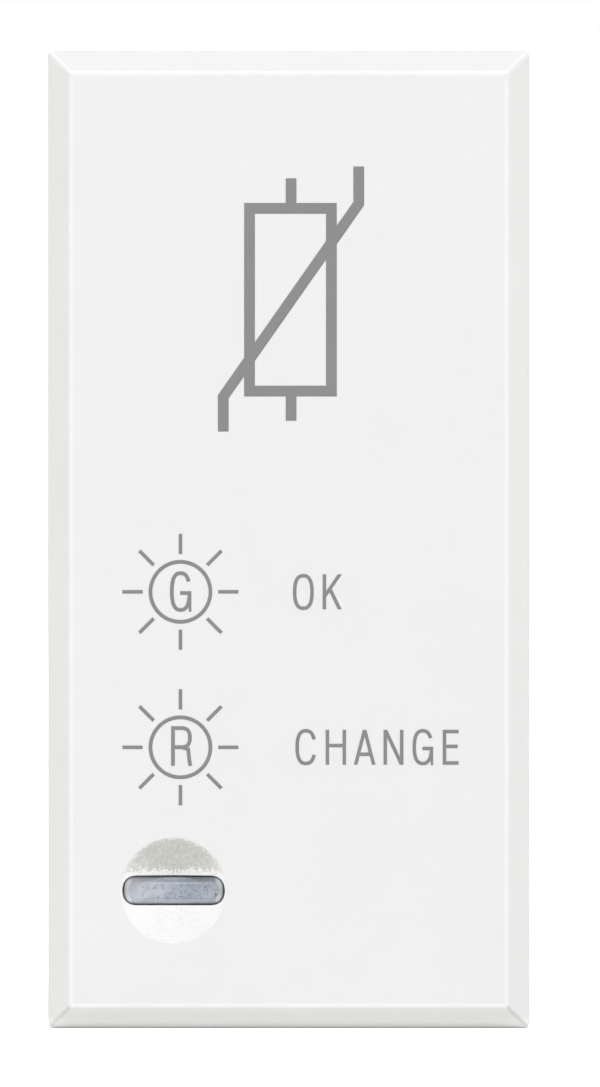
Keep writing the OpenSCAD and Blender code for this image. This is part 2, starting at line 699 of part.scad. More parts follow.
module diode(side) color("black") translate([side * diode_x, 0, diode_z]) rotate([0, 90, 0]) union()
    axial_part(diode_d, diode_l, diode_d / 30, diode_span);

module lamp(i) union() {
    translate([lamp_x[i], board_y0, light_z]) rotate([90, 0, 0]) rotate_extrude()
        polygon(rounded([[0, 0, 0], [lamp_d / 2 + lamp_rim, 0, 0], [lamp_d / 2 + lamp_rim, lamp_rim_t, 0],
            [lamp_d / 2, lamp_rim_t, 0], [lamp_d / 2, lamp_l, lamp_d * 0.4], [0, lamp_l, 0]]));
    for (e = [-1, 1])
        rod_y(lamp_x[i], light_z + e * lamp_leads / 2, board_y0 - lamp_rim_t / 2, board_y1 + 0.6, lamp_lead_r);
}

// Terminals

// A bar from its soldered pin along the side wall, round the bend and up through its cage
module contact_bar(t) color("goldenrod") mirror([0, 0, t[1] < 0 ? 1 : 0]) mirror([t[2] < 0 ? 1 : 0, 0, 0]) {
    across = t[0] * t[2];
    along_z(strip_z0, strip_z1) polygon(rounded([
        [strip_x1, strip_y0, 0], [strip_x1, bar_y1, bend_r + bar_t], [across - bar_w / 2, bar_y1, 0],
        [across - bar_w / 2, bar_y0, 0], [strip_x0, bar_y0, bend_r], [strip_x0, strip_y0, 0]]));
    box(across - bar_w / 2, across + bar_w / 2, bar_y0, bar_y1, strip_z0, pocket_top - bar_play);
    box(strip_x0, strip_x1, board_y0 - pin_foot, strip_y0 + past,
        (strip_z0 + strip_z1 - pin_w) / 2, (strip_z0 + strip_z1 + pin_w) / 2);
}

module clamp_cage(t) color("silver") translate([t[0], 0, t[1] * terminal_z]) difference() {
    along_z(-cage_l / 2, cage_l / 2) polygon(rounded([
        [-cage_w / 2, cage_y0, cage_r], [cage_w / 2, cage_y0, cage_r], [cage_w / 2, cage_y1, cage_r],
        [-cage_w / 2, cage_y1, cage_r]]));
    box(-cage_w / 2 + cage_cheek, cage_w / 2 - cage_cheek, cage_floor_y, cage_bar_y, -cage_l, cage_l);
    for (i = [-1:1]) along_x(-cage_w / 2 + cage_cheek, cage_w / 2 - cage_cheek)
        polygon([[cage_floor_y + wire_play, i * grip_pitch - grip_w / 2], [cage_floor_y - grip_h, i * grip_pitch],
            [cage_floor_y + wire_play, i * grip_pitch + grip_w / 2]]);
    rod_y(0, 0, cage_bar_y - past, cage_y1 + past, shank_r + thread_gap);
}

module terminal_screw(t) color("lightgray") translate([t[0], 0, t[1] * terminal_z]) difference() {
    rotate([-90, 0, 0]) rotate_extrude() polygon([
        [0, tip_y], [shank_r - tip_bevel, tip_y], [shank_r, tip_y + tip_bevel], [shank_r, head_y0],
        [head_r, head_y0], [head_r, head_y1 - tip_bevel], [head_r - tip_bevel, head_y1], [0, head_y1]]);
    box(-head_r - past, head_r + past, head_y1 - drive_d, head_y1 + past, -drive_w / 2, drive_w / 2);
    box(-drive_w / 2, drive_w / 2, head_y1 - cross_d, head_y1 + past, -cross_l / 2, cross_l / 2);
    box(-cross_l / 2, cross_l / 2, head_y1 - cross_d, head_y1 + past, -drive_w / 2, drive_w / 2);
}

front_cover();
light_guide();
clip_frame();
rear_housing();
circuit_board();
varistor(-1);  // varistor_line
varistor(1);  // varistor_neutral
thermal_fuse(0);  // thermal_fuse_line
thermal_fuse(1);  // thermal_fuse_neutral
gas_discharge_tube();
film_capacitor();
resistor(0);  // resistor_green
resistor(1);  // resistor_red
diode(-1);  // diode_green
diode(1);  // diode_red
color("palegreen") lamp(0);  // green_lamp
color("salmon") lamp(1);  // red_lamp
contact_bar(LINE);  // contact_bar_line
contact_bar(NEUTRAL);  // contact_bar_neutral
contact_bar(EARTH);  // contact_bar_earth
clamp_cage(LINE);  // clamp_cage_line
clamp_cage(NEUTRAL);  // clamp_cage_neutral
clamp_cage(EARTH);  // clamp_cage_earth
terminal_screw(LINE);  // terminal_screw_line
terminal_screw(NEUTRAL);  // terminal_screw_neutral
terminal_screw(EARTH);  // terminal_screw_earth
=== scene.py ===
import math

import bmesh
import bpy
from mathutils import Matrix, Vector
from mathutils.geometry import delaunay_2d_cdt


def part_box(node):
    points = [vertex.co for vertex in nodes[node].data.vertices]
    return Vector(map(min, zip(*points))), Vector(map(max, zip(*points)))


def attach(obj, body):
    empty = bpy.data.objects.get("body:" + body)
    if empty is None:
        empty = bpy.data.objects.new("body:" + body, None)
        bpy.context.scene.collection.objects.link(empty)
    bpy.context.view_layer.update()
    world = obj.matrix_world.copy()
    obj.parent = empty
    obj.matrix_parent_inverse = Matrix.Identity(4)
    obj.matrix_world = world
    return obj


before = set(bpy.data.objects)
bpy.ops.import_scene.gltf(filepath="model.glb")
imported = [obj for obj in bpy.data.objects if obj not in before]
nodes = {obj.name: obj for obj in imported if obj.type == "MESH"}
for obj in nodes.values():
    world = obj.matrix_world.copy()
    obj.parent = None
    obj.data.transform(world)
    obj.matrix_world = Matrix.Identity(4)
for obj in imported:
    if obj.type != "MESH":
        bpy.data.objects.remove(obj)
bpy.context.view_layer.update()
mm = 0.001   # settings are in mm, apart from those of the camera, the floor and the lamps
print("frame loaded,", len(nodes), "nodes")


# The picture is 600 by 1087 pixels and takes in 50 mm of height where the face lies
cameraSettings = {
    "away": 0.75, "tall": 0.05, "x": 0.00052, "z": -0.00018, "faceY": -0.009,
    "sensor": 36, "near": 0.05, "far": 20,
}


def placeCamera(s):
    data = bpy.data.cameras.new("photoCamera")
    data.sensor_width = s["sensor"]
    data.lens = s["sensor"] * s["away"] / s["tall"]
    data.clip_start = s["near"]
    data.clip_end = s["far"]
    camera = bpy.data.objects.new("photoCamera", data)
    camera.location = (s["x"], s["faceY"] - s["away"], s["z"])
    camera.rotation_euler = (math.radians(90), 0, 0)
    bpy.context.scene.collection.objects.link(camera)
    bpy.context.scene.camera = camera


placeCamera(cameraSettings)
print("camera placed")


# Gives an input a plain value or another node's output
def feed(tree, socket, value):
    if isinstance(value, bpy.types.NodeSocket):
        tree.links.new(value, socket)
    else:
        socket.default_value = value


def put(tree, kind, inputs=None, **settings):
    node = tree.nodes.new(kind)
    for name, value in settings.items():
        setattr(node, name, value)
    for name, value in (inputs or {}).items():
        feed(tree, node.inputs[name], value)
    return node


# One operation on one or two values, or on more of them one after another
def calc(tree, operation, first, *others):
    for second in others or (None,):
        node = put(tree, "ShaderNodeMath", operation=operation)
        feed(tree, node.inputs[0], first)
        if second is not None:
            feed(tree, node.inputs[1], second)
        first = node.outputs[0]
    return first


def plus(tree, *values):
    return calc(tree, "ADD", *values)


def minus(tree, *values):
    return calc(tree, "SUBTRACT", *values)


def times(tree, *values):
    return calc(tree, "MULTIPLY", *values)


def largest(tree, *values):
    return calc(tree, "MAXIMUM", *values)


def absolute(tree, value):
    return calc(tree, "ABSOLUTE", value)


def isAbove(tree, value, limit):
    return calc(tree, "GREATER_THAN", value, limit)


def isBelow(tree, value, limit):
    return calc(tree, "LESS_THAN", value, limit)


# 1 where a mask is 0, and 0 where it is 1
def flip(tree, mask):
    return calc(tree, "SUBTRACT", 1.0, mask)


def distance(tree, across, up):
    return calc(tree, "SQRT", plus(tree, times(tree, across, across), times(tree, up, up)))


# 0 at low, 1 at high and smooth between them
def fade(tree, value, low, high):
    node = put(tree, "ShaderNodeMapRange", {"Value": value, "From Min": low, "From Max": high},
               interpolation_type="SMOOTHSTEP")
    return node.outputs["Result"]


# One range stretched evenly over another, and held at its ends
def stretch(tree, value, old, new=(0.0, 1.0)):
    node = put(tree, "ShaderNodeMapRange", {
        "Value": value, "From Min": old[0], "From Max": old[1], "To Min": new[0], "To Max": new[1]})
    return node.outputs["Result"]


noiseRange = (0.3, 0.7)   # nearly all of a noise lies between these
noiseMiddle = 0.5


def noise(tree, point, scale, detail):
    return put(tree, "ShaderNodeTexNoise", {"Vector": point, "Scale": scale, "Detail": detail}).outputs[0]


mixSockets = {"share": 0, "first": 6, "second": 7, "blend": 2}   # the ones a Mix node has for colours


def blendColours(tree, share, first, second):
    node = put(tree, "ShaderNodeMix", data_type="RGBA")
    feed(tree, node.inputs[mixSockets["share"]], share)
    for name, colour in (("first", first), ("second", second)):
        plain = not isinstance(colour, bpy.types.NodeSocket)
        feed(tree, node.inputs[mixSockets[name]], (*colour, 1) if plain else colour)
    return node.outputs[mixSockets["blend"]]


# The point on the object in mm, measured from a chosen middle
def pointFrom(tree, middle=(0, 0, 0)):
    where = put(tree, "ShaderNodeTexCoord").outputs["Object"]
    place = {"Vector": where, "Location": [-c for c in middle], "Scale": [1 / mm] * 3}
    return put(tree, "ShaderNodeMapping", place).outputs[0]


def split(tree, point):
    return list(put(tree, "ShaderNodeSeparateXYZ", {"Vector": point}).outputs)


# A node tree with named inputs (label, kind and first value) and outputs (label and kind)
def newTree(kind, name, inputs, outputs):
    tree = bpy.data.node_groups.new(name, kind)
    for label, socketKind, value in inputs:
        socket = tree.interface.new_socket(
            name=label, in_out="INPUT", socket_type="NodeSocket" + socketKind)
        if value is not None:
            socket.default_value = value
    for label, socketKind in outputs:
        tree.interface.new_socket(name=label, in_out="OUTPUT", socket_type="NodeSocket" + socketKind)
    return tree, tree.nodes.new("NodeGroupInput").outputs, tree.nodes.new("NodeGroupOutput").inputs


# How far a point lies inside a bar with rounded corners; below 0 outside it
def insideBar(tree, x, z, half, corner):
    pastX = minus(tree, absolute(tree, x), half[0] - corner)
    pastZ = minus(tree, absolute(tree, z), half[1] - corner)
    outer = distance(tree, largest(tree, pastX, 0.0), largest(tree, pastZ, 0.0))
    inner = calc(tree, "MINIMUM", largest(tree, pastX, pastZ), 0.0)
    return minus(tree, corner, plus(tree, outer, inner))


grainSettings = {"detail": 3.0, "pitShare": 0.5, "cloudDetail": 2.0, "heights": (0.3, 1.0)}


# Fine grain of a moulded surface, with a slow cloud over it
def makeGrain(s):
    group, given, out = newTree("ShaderNodeTree", "mouldGrain",
                                [("Grain", "Float", 4.0), ("Cloud", "Float", 0.1)],
                                [("Height", "Float"), ("Cloud", "Float")])
    point = pointFrom(group)
    fine = noise(group, point, given["Grain"], s["detail"])
    pits = put(group, "ShaderNodeTexVoronoi", {"Vector": point, "Scale": given["Grain"]}).outputs[0]
    feed(group, out["Height"], plus(group, fine, times(group, pits, s["pitShare"])))
    feed(group, out["Cloud"], noise(group, point, given["Cloud"], s["cloudDetail"]))
    return group


edgeSettings = {"samples": 4, "turn": (0.03, 0.3)}


# Slightly rounded edges, and where they are
def makeEdges(s):
    group, given, out = newTree("ShaderNodeTree", "softEdges", [("Radius", "Float", 0.1)],
                                [("Edge", "Float"), ("Normal", "Vector")])
    radius = times(group, given["Radius"], mm)
    rounded = put(group, "ShaderNodeBevel", {"Radius": radius}, samples=s["samples"]).outputs[0]
    match = put(group, "ShaderNodeVectorMath", operation="DOT_PRODUCT")
    feed(group, match.inputs[0], rounded)
    feed(group, match.inputs[1], put(group, "ShaderNodeNewGeometry").outputs["True Normal"])
    feed(group, out["Edge"], fade(group, flip(group, match.outputs["Value"]), *s["turn"]))
    feed(group, out["Normal"], rounded)
    return group


streakSettings = {"detail": 4.0, "toneScale": 0.5, "toneDetail": 2.0}


# Fine lines along one axis, as on rolled or drawn metal
def makeStreaks(s):
    group, given, out = newTree("ShaderNodeTree", "metalStreaks", [("Stretch", "Vector", (8.0, 8.0, 0.6))],
                                [("Height", "Float"), ("Tone", "Float")])
    point = pointFrom(group)
    scaled = put(group, "ShaderNodeMapping", {"Vector": point, "Scale": given["Stretch"]}).outputs[0]
    feed(group, out["Height"], noise(group, scaled, 1.0, s["detail"]))
    feed(group, out["Tone"], noise(group, point, s["toneScale"], s["toneDetail"]))
    return group


grainGroup = makeGrain(grainSettings)
edgeGroup = makeEdges(edgeSettings)
streakGroup = makeStreaks(streakSettings)


def useGroup(tree, group, **inputs):
    node = tree.nodes.new("ShaderNodeGroup")
    node.node_tree = group
    for name, value in inputs.items():
        node.inputs[name].default_value = value
    return node


def startMaterial(name, colour, **sockets):
    material = bpy.data.materials.new(name)
    material.use_nodes = True
    shader = material.node_tree.nodes["Principled BSDF"]
    shader.inputs["Base Color"].default_value = (*colour, 1)
    for label, value in sockets.items():
        shader.inputs[label].default_value = value
    return material, material.node_tree, shader


# Lays a colour over what the material has so far, where the mask is 1
def layOver(tree, shader, mask, colour):
    socket = shader.inputs["Base Color"]
    under = socket.links[0].from_socket if socket.links else socket.default_value[:3]
    feed(tree, socket, blendColours(tree, mask, under, colour))


# Adds a bump to the normal that the material has so far
def addBump(tree, shader, height, depth):
    socket = shader.inputs["Normal"]
    bump = put(tree, "ShaderNodeBump", {"Height": height, "Distance": depth * mm})
    if socket.links:
        feed(tree, bump.inputs["Normal"], socket.links[0].from_socket)
    feed(tree, socket, bump.outputs[0])


# A cloudy tone (change is how much darker it gets), lighter worn edges, uneven gloss and a fine bump
def addFinish(tree, shader, s, tone, height, heights):
    edges = useGroup(tree, edgeGroup, Radius=s["edge"])
    darker = [c * (1 - s["change"]) for c in s["colour"]]
    layOver(tree, shader, flip(tree, fade(tree, tone, *noiseRange)), darker)
    layOver(tree, shader, times(tree, edges.outputs["Edge"], s["wear"]), s["wornColour"])
    feed(tree, shader.inputs["Roughness"], stretch(tree, height, heights, s["rough"]))
    feed(tree, shader.inputs["Normal"], edges.outputs["Normal"])
    addBump(tree, shader, height, s["depth"])


def makePlastic(name, s):
    material, tree, shader = startMaterial(name, s["colour"])
    grain = useGroup(tree, grainGroup, Grain=s["grain"], Cloud=s["cloud"])
    addFinish(tree, shader, s, grain.outputs["Cloud"], grain.outputs["Height"], grainSettings["heights"])
    return material, tree, shader


def makeMetal(name, s):
    material, tree, shader = startMaterial(name, s["colour"], Metallic=1.0)
    streaks = useGroup(tree, streakGroup, Stretch=s["stretch"])
    addFinish(tree, shader, s, streaks.outputs["Tone"], streaks.outputs["Height"], noiseRange)
    return material, tree, shader


def dress(material, *names):
    for name in names:
        mesh = nodes[name].data
        if not mesh.materials:
            mesh.materials.append(material)
        for slot in nodes[name].material_slots:
            slot.material = material


def lighter(colour, lift):
    return [min(1, c * lift) for c in colour]


# Colours are linear light; the cover is a clean neutral white, finely satin. A share is how much
# of a tone is laid on, and a pair of numbers is where a fade begins and ends
coverSettings = {
    "colour": (0.87, 0.87, 0.868), "change": 0.01, "wornColour": (0.9, 0.9, 0.895), "wear": 0.2,
    "grain": 6.0, "cloud": 0.25, "edge": 0.05, "rough": (0.255, 0.27), "depth": 0.001,
    # the settings below paint highlights on the face's edges, upper mitres and foot, and paint shade on the
    # lower mitres
    "faceHalf": (10.075, 21.5), "frontTo": -7.8, "highlightColour": (0.96, 0.96, 0.955), "lineIn": 0.05,
    "lineHalf": 0.14, "topFade": (20.9, 21.3), "topShare": 0.55, "sideShare": 0.65, "cornerIn": -0.05,
    "brightMitre": 0.28, "darkMitre": 0.22, "mitreColour": (0.0, 0.0, 0.0), "mitreShade": 0.17,
    "footLight": (-21.9, -22.25),
}


# Painted highlights on the line between face and bevels, on the upper mitres and on the foot of the lower
# bevel, and painted shade on the lower mitres
def paintEdgeHighlights(tree, shader, s):
    x, y, z = split(tree, pointFrom(tree))
    outX = minus(tree, absolute(tree, x), s["faceHalf"][0])
    outZ = minus(tree, absolute(tree, z), s["faceHalf"][1])
    near = absolute(tree, plus(tree, largest(tree, outX, outZ), s["lineIn"]))
    lessOnTop = times(tree, fade(tree, z, *s["topFade"]), 1 - s["topShare"])
    lessAtSide = times(tree, isAbove(tree, outX, outZ), 1 - s["sideShare"])
    line = times(tree, flip(tree, fade(tree, near, s["lineIn"], s["lineHalf"])),
                 flip(tree, plus(tree, lessOnTop, lessAtSide)))
    fromMitre = absolute(tree, minus(tree, outX, outZ))
    atCorner = isAbove(tree, calc(tree, "MINIMUM", outX, outZ), s["cornerIn"])
    upper = times(tree, flip(tree, fade(tree, fromMitre, 0.0, s["brightMitre"])), atCorner,
                  isAbove(tree, z, 0.0))
    lower = times(tree, flip(tree, fade(tree, fromMitre, 0.0, s["darkMitre"])), atCorner,
                  isBelow(tree, z, 0.0))
    front = isBelow(tree, y, s["frontTo"])
    # painted highlights: the line between face and bevels, the upper mitres and the foot of the lower bevel
    bright = largest(tree, line, fade(tree, z, *s["footLight"]), upper)
    layOver(tree, shader, times(tree, bright, front), s["highlightColour"])
    # painted shade along the lower mitres
    layOver(tree, shader, times(tree, lower, front, s["mitreShade"]), s["mitreColour"])


# past and least are small margins; the ragged end of the painted shade and the band of painted shade specks
# are measured inwards from the rim
dishSettings = {
    "middle": (-5.3, 0, -16.15), "radius": 2.475, "past": 0.01, "from": -8.99, "rough": 0.35,
    "grain": 7.0, "grainDepth": 0.1, "cloud": 0.9, "detail": 2.0, "ragged": 0.9, "least": 0.1,
    # the shade colour and tone below are painted shade on the upper wall; the pale colour is painted light
    # on the lower wall and the lip
    "shade": (0.1, 0.105, 0.0), "tone": 0.29, "cloudShade": (0.86, 1.14), "upper": (-0.05, 0.85),
    "shadeEdge": (0.16, 0.02), "speckBand": (0.22, 0.08), "speckFrom": (0.5, 0.62), "speckShare": 0.14,
    "pale": (0.965, 0.963, 0.944), "paintedLightShare": 0.8, "lower": (0.1, -0.4), "footShare": 0.2,
    "flank": (-0.97, -0.5), "slotHalf": (2.36, 0.69), "slotCorner": 0.6, "lip": (0.19, 0.29),
    "lipLess": 0.6,
}


# The dish is spark grained, with painted shade on its upper wall and painted light on its lower wall
def paintDishShading(tree, shader, s):
    point = pointFrom(tree, s["middle"])
    x, y, z = split(tree, point)
    out = distance(tree, x, z)
    inside = times(tree, isBelow(tree, out, s["radius"] + s["past"]), isAbove(tree, y, s["from"]))
    grain = noise(tree, point, s["grain"], s["detail"])
    cloud = noise(tree, point, s["cloud"], s["detail"])
    ragged = times(tree, minus(tree, grain, noiseMiddle), s["ragged"])
    rise = calc(tree, "DIVIDE", z, largest(tree, out, s["least"]))   # 1 at the top, -1 at the foot
    lower = fade(tree, rise, *s["lower"])

    # painted shade on the upper wall, cloudy and speckled with the grain, ending raggedly below the rim
    deep = times(tree, stretch(tree, rise, s["upper"]), s["tone"],
                 stretch(tree, cloud, noiseRange, s["cloudShade"]))
    grainy = stretch(tree, grain, noiseRange, (-s["grainDepth"], s["grainDepth"]))
    shadeEdge = [s["radius"] - c for c in s["shadeEdge"]]
    within = flip(tree, fade(tree, plus(tree, out, ragged), *shadeEdge))
    # painted shade specks make a broken line along the lower wall's rim
    speckBand = [s["radius"] - c for c in s["speckBand"]]
    specks = times(tree, fade(tree, out, *speckBand), lower, fade(tree, grain, *s["speckFrom"]),
                   s["speckShare"])
    shade = plus(tree, times(tree, plus(tree, deep, grainy), within), specks)
    layOver(tree, shader, times(tree, inside, shade), s["shade"])

    # painted light: the lower wall is palest at its flanks, and the lip round the slot is painted pale too
    atFlank = times(tree, fade(tree, rise, *s["flank"]), 1 - s["footShare"])
    paintedLight = times(tree, lower, plus(tree, atFlank, s["footShare"]), s["paintedLightShare"])
    fromSlot = minus(tree, ragged, insideBar(tree, x, z, s["slotHalf"], s["slotCorner"]))
    lip = times(tree, flip(tree, fade(tree, fromSlot, *s["lip"])),
                flip(tree, times(tree, lower, s["lipLess"])))
    layOver(tree, shader, times(tree, inside, largest(tree, lip, paintedLight)), s["pale"])
    satin = shader.inputs["Roughness"].links[0].from_socket
    feed(tree, shader.inputs["Roughness"], plus(tree, satin, times(tree, inside, s["rough"])))


cover, coverTree, coverShader = makePlastic("coverWhite", coverSettings)
paintEdgeHighlights(coverTree, coverShader, coverSettings)
paintDishShading(coverTree, coverShader, dishSettings)
dress(cover, "front_cover")

frameSettings = {
    "colour": (0.76, 0.76, 0.75), "change": 0.03, "wornColour": (0.82, 0.82, 0.815), "wear": 0.4,
    "grain": 5.0, "cloud": 0.2, "edge": 0.08, "rough": (0.42, 0.6), "depth": 0.006,
    "sideFrom": 10.2, "pins": ((5.2, 0.0), (5.2, 15.6)), "pinRadius": 1.1, "pinWidth": 0.12,
    "pinDepth": 0.05,
}


# Moulded plastic whose side walls show the round marks of the mould's pins
def makePinned(name, s):
    material, tree, shader = makePlastic(name, s)
    x, y, z = split(tree, pointFrom(tree))
    rings = []
    for pinY, pinZ in s["pins"]:
        away = distance(tree, minus(tree, y, pinY), minus(tree, absolute(tree, z), pinZ))
        fromRing = absolute(tree, minus(tree, away, s["pinRadius"]))
        rings.append(flip(tree, fade(tree, fromRing, 0.0, s["pinWidth"])))
    onSide = isAbove(tree, absolute(tree, x), s["sideFrom"])
    addBump(tree, shader, flip(tree, times(tree, onSide, largest(tree, *rings))), s["pinDepth"])
    return material


dress(makePinned("frameWhite", frameSettings), "clip_frame")

housingSettings = {
    "colour": (0.07, 0.072, 0.078), "change": 0.15, "wornColour": (0.14, 0.143, 0.15), "wear": 0.6,
    "grain": 4.0, "cloud": 0.25, "edge": 0.12, "rough": (0.38, 0.62), "depth": 0.02,
    "sideFrom": 9.9, "pins": ((24.5, 0.0), (24.5, 12.4)), "pinRadius": 1.3, "pinWidth": 0.12,
    "pinDepth": 0.05,
}
dress(makePinned("housingGrey", housingSettings), "rear_housing")

# The light guide is clear and lightly smoked, with painted bands of shade and highlight where its rounded
# rim
# would bend the light: how deep from the rim each lies, how strong it is, and its side (1 above, -1 below, 0
# all round)
guideSettings = {
    "middle": (-5.3, 0, -16.15), "half": (2.29, 0.62), "corner": 0.53, "rough": 0.2, "ior": 1.5,
    "left": (0.62, 0.64, 0.71), "centre": (0.34, 0.38, 0.45), "right": (0.52, 0.56, 0.63),
    "leftFade": (-2.6, 0.9), "rightFade": (0.8, 1.9), "wander": 2.4, "bump": 0.01,
    "blotColour": (0.17, 0.2, 0.25), "blotScale": 3.4, "blotDetail": 4.0, "blotFrom": (0.5, 0.62),
    "blotShare": 0.45, "fleckScale": 7.5, "fleckDetail": 2.0, "fleckFrom": (0.6, 0.68),
    "fleckFade": (-3.4, 0.6), "fleckShare": 0.8,
    "bands": [{"colour": (0.24, 0.27, 0.29), "low": -0.2, "high": 0.24, "share": 0.65, "side": 1},
              {"colour": (0.6, 0.64, 0.68), "low": 0.26, "high": 0.33, "share": 0.5, "side": 1},
              {"colour": (0.46, 0.49, 0.53), "low": -0.2, "high": 0.19, "share": 0.8, "side": -1},
              {"colour": (0.27, 0.3, 0.34), "low": 0.21, "high": 0.27, "share": 0.6, "side": -1}],
    # the rim band is painted shade all round
    "rim": {"colour": (0.16, 0.19, 0.21), "low": -0.2, "high": 0.02, "share": 0.25, "side": 0},
    "bandSoft": 0.04, "bandFade": (-3.6, 0.2), "sideFade": (0.1, 0.3),
    # the end settings paint light at both ends, inside the rim
    "endLight": (0.78, 0.82, 0.86), "endFrom": (1.85, 2.05), "endDepth": (0.16, 0.26), "endShare": 0.85,
}


def makeGuide(s):
    material, tree, shader = startMaterial("guideSmoke", s["centre"], Roughness=s["rough"], IOR=s["ior"])
    point = pointFrom(tree, s["middle"])
    x, _, z = split(tree, point)
    depth = insideBar(tree, x, z, s["half"], s["corner"])
    blot = noise(tree, point, s["blotScale"], s["blotDetail"])
    fleck = noise(tree, point, s["fleckScale"], s["fleckDetail"])
    wander = plus(tree, x, times(tree, minus(tree, blot, noiseMiddle), s["wander"]))
    layOver(tree, shader, flip(tree, fade(tree, wander, *s["leftFade"])), s["left"])
    layOver(tree, shader, fade(tree, wander, *s["rightFade"]), s["right"])
    blots = times(tree, fade(tree, blot, *s["blotFrom"]), fade(tree, x, *s["leftFade"]), s["blotShare"])
    layOver(tree, shader, blots, s["blotColour"])
    flecks = times(tree, fade(tree, fleck, *s["fleckFrom"]), fade(tree, x, *s["fleckFade"]), s["fleckShare"])
    layOver(tree, shader, flecks, s["blotColour"])
    atEnd = fade(tree, absolute(tree, x), *s["endFrom"])
    alongFade = fade(tree, x, *s["bandFade"])

    def layBand(band):
        low, high, soft = band["low"], band["high"], s["bandSoft"]
        ring = times(tree, flip(tree, fade(tree, depth, high - soft, high + soft)),
                     fade(tree, depth, low - soft, low + soft), alongFade, band["share"])
        if band["side"]:   # a band of one side fades out at the ends
            onSide = fade(tree, times(tree, z, float(band["side"])), *s["sideFade"])
            ring = times(tree, ring, onSide, flip(tree, atEnd))
        layOver(tree, shader, ring, band["colour"])

    for band in s["bands"]:
        layBand(band)
    # painted light at both ends, inside the rim
    ends = times(tree, flip(tree, fade(tree, depth, *s["endDepth"])), atEnd, s["endShare"])
    layOver(tree, shader, ends, s["endLight"])
    # painted shade round the rim
    layBand(s["rim"])
    addBump(tree, shader, blot, s["bump"])
    return material


dress(makeGuide(guideSettings), "light_guide")


def componentLook(colour, change=0.08, grain=3.0, depth=0.008, rough=(0.3, 0.45)):
    return {"colour": colour, "change": change, "wornColour": lighter(colour, lift=1.25), "wear": 0.4,
            "grain": grain, "cloud": 0.4, "edge": 0.06, "rough": rough, "depth": depth}


leadColour = (0.72, 0.7, 0.66)

# The small parts on the board. Their leads begin at the limit: both ways along the axis, above or
# below it on that axis, or around the axis. A ring has its place, half its width and a colour
componentSettings = {
    "discBlue": {
        "look": componentLook((0.05, 0.15, 0.42), change=0.15, grain=1.6, depth=0.03),
        "nodes": ("varistor_line", "varistor_neutral"),
        "middle": (0, 9.4, 0), "axis": 0, "leads": "around", "limit": 7.24, "rings": ()},
    "tubeCeramic": {
        "look": componentLook((0.78, 0.76, 0.7), change=0.05), "nodes": ("gas_discharge_tube",),
        "middle": (0, 0, 0), "axis": 0, "leads": "both", "limit": 1.8, "rings": ()},
    "capacitorYellow": {
        "look": componentLook((0.75, 0.48, 0.05), change=0.06), "nodes": ("film_capacitor",),
        "middle": (0, 0, 0), "axis": 1, "leads": "below", "limit": 1.29, "rings": ()},
    "lampGreen": {
        "look": componentLook((0.15, 0.6, 0.25)), "nodes": ("green_lamp",),
        "middle": (0, 0, 0), "axis": 1, "leads": "above", "limit": -0.62, "rings": ()},
    "lampRed": {
        "look": componentLook((0.75, 0.08, 0.06)), "nodes": ("red_lamp",),
        "middle": (0, 0, 0), "axis": 1, "leads": "above", "limit": -0.62, "rings": ()},
    "resistorTan": {
        "look": componentLook((0.6, 0.44, 0.27)), "nodes": ("resistor_green", "resistor_red"),
        "middle": (0, 0, 0), "axis": 0, "leads": "both", "limit": 2.48,
        "rings": ((-1.75, 0.2, (0.12, 0.04, 0.02)), (-0.75, 0.2, (0.01, 0.01, 0.01)),
                  (0.0, 0.2, (0.7, 0.16, 0.02)), (1.75, 0.2, (0.55, 0.38, 0.08)))},
    "diodeBlack": {
        "look": componentLook((0.03, 0.03, 0.03)), "nodes": ("diode_green", "diode_red"),
        "middle": (0, 0, -12.0), "axis": 2, "leads": "both", "limit": 1.48,
        "rings": ((0.95, 0.2, (0.5, 0.5, 0.5)),)},
}


def leadMask(tree, s):
    parts = split(tree, pointFrom(tree, s["middle"]))
    along = parts.pop(s["axis"])
    if s["leads"] == "around":
        return isAbove(tree, distance(tree, *parts), s["limit"])
    if s["leads"] == "both":
        return isAbove(tree, absolute(tree, along), s["limit"])
    onSide = isAbove if s["leads"] == "above" else isBelow
    return onSide(tree, along, s["limit"])


def paintRings(tree, shader, s):
    along = split(tree, pointFrom(tree, s["middle"]))[s["axis"]]
    for place, half, colour in s["rings"]:
        fromRing = absolute(tree, minus(tree, along, place))
        layOver(tree, shader, isBelow(tree, fromRing, half), colour)


for name, s in componentSettings.items():
    component, tree, shader = makePlastic(name, s["look"])
    leads = leadMask(tree, s)
    layOver(tree, shader, leads, leadColour)
    feed(tree, shader.inputs["Metallic"], leads)
    paintRings(tree, shader, s)
    dress(component, *s["nodes"])

boardSettings = dict(
    componentLook((0.03, 0.2, 0.08), change=0.2, grain=2.0, depth=0.004, rough=(0.25, 0.35)),
    trackWidth=0.35, trackLong=5.2, trackStep=3.1, trackColour=(0.07, 0.34, 0.13), trackShare=0.8)


# Solder mask over copper tracks, which show as paler lines
def makeBoard(s):
    material, tree, shader = makePlastic("boardGreen", s)
    x, _, z = split(tree, pointFrom(tree))
    flat = put(tree, "ShaderNodeCombineXYZ", {"X": x, "Y": z}).outputs[0]
    tracks = put(tree, "ShaderNodeTexBrick", {
        "Vector": flat, "Scale": 1.0, "Mortar Size": s["trackWidth"],
        "Brick Width": s["trackLong"], "Row Height": s["trackStep"]}).outputs["Fac"]
    layOver(tree, shader, times(tree, tracks, s["trackShare"]), s["trackColour"])
    return material


dress(makeBoard(boardSettings), "circuit_board")

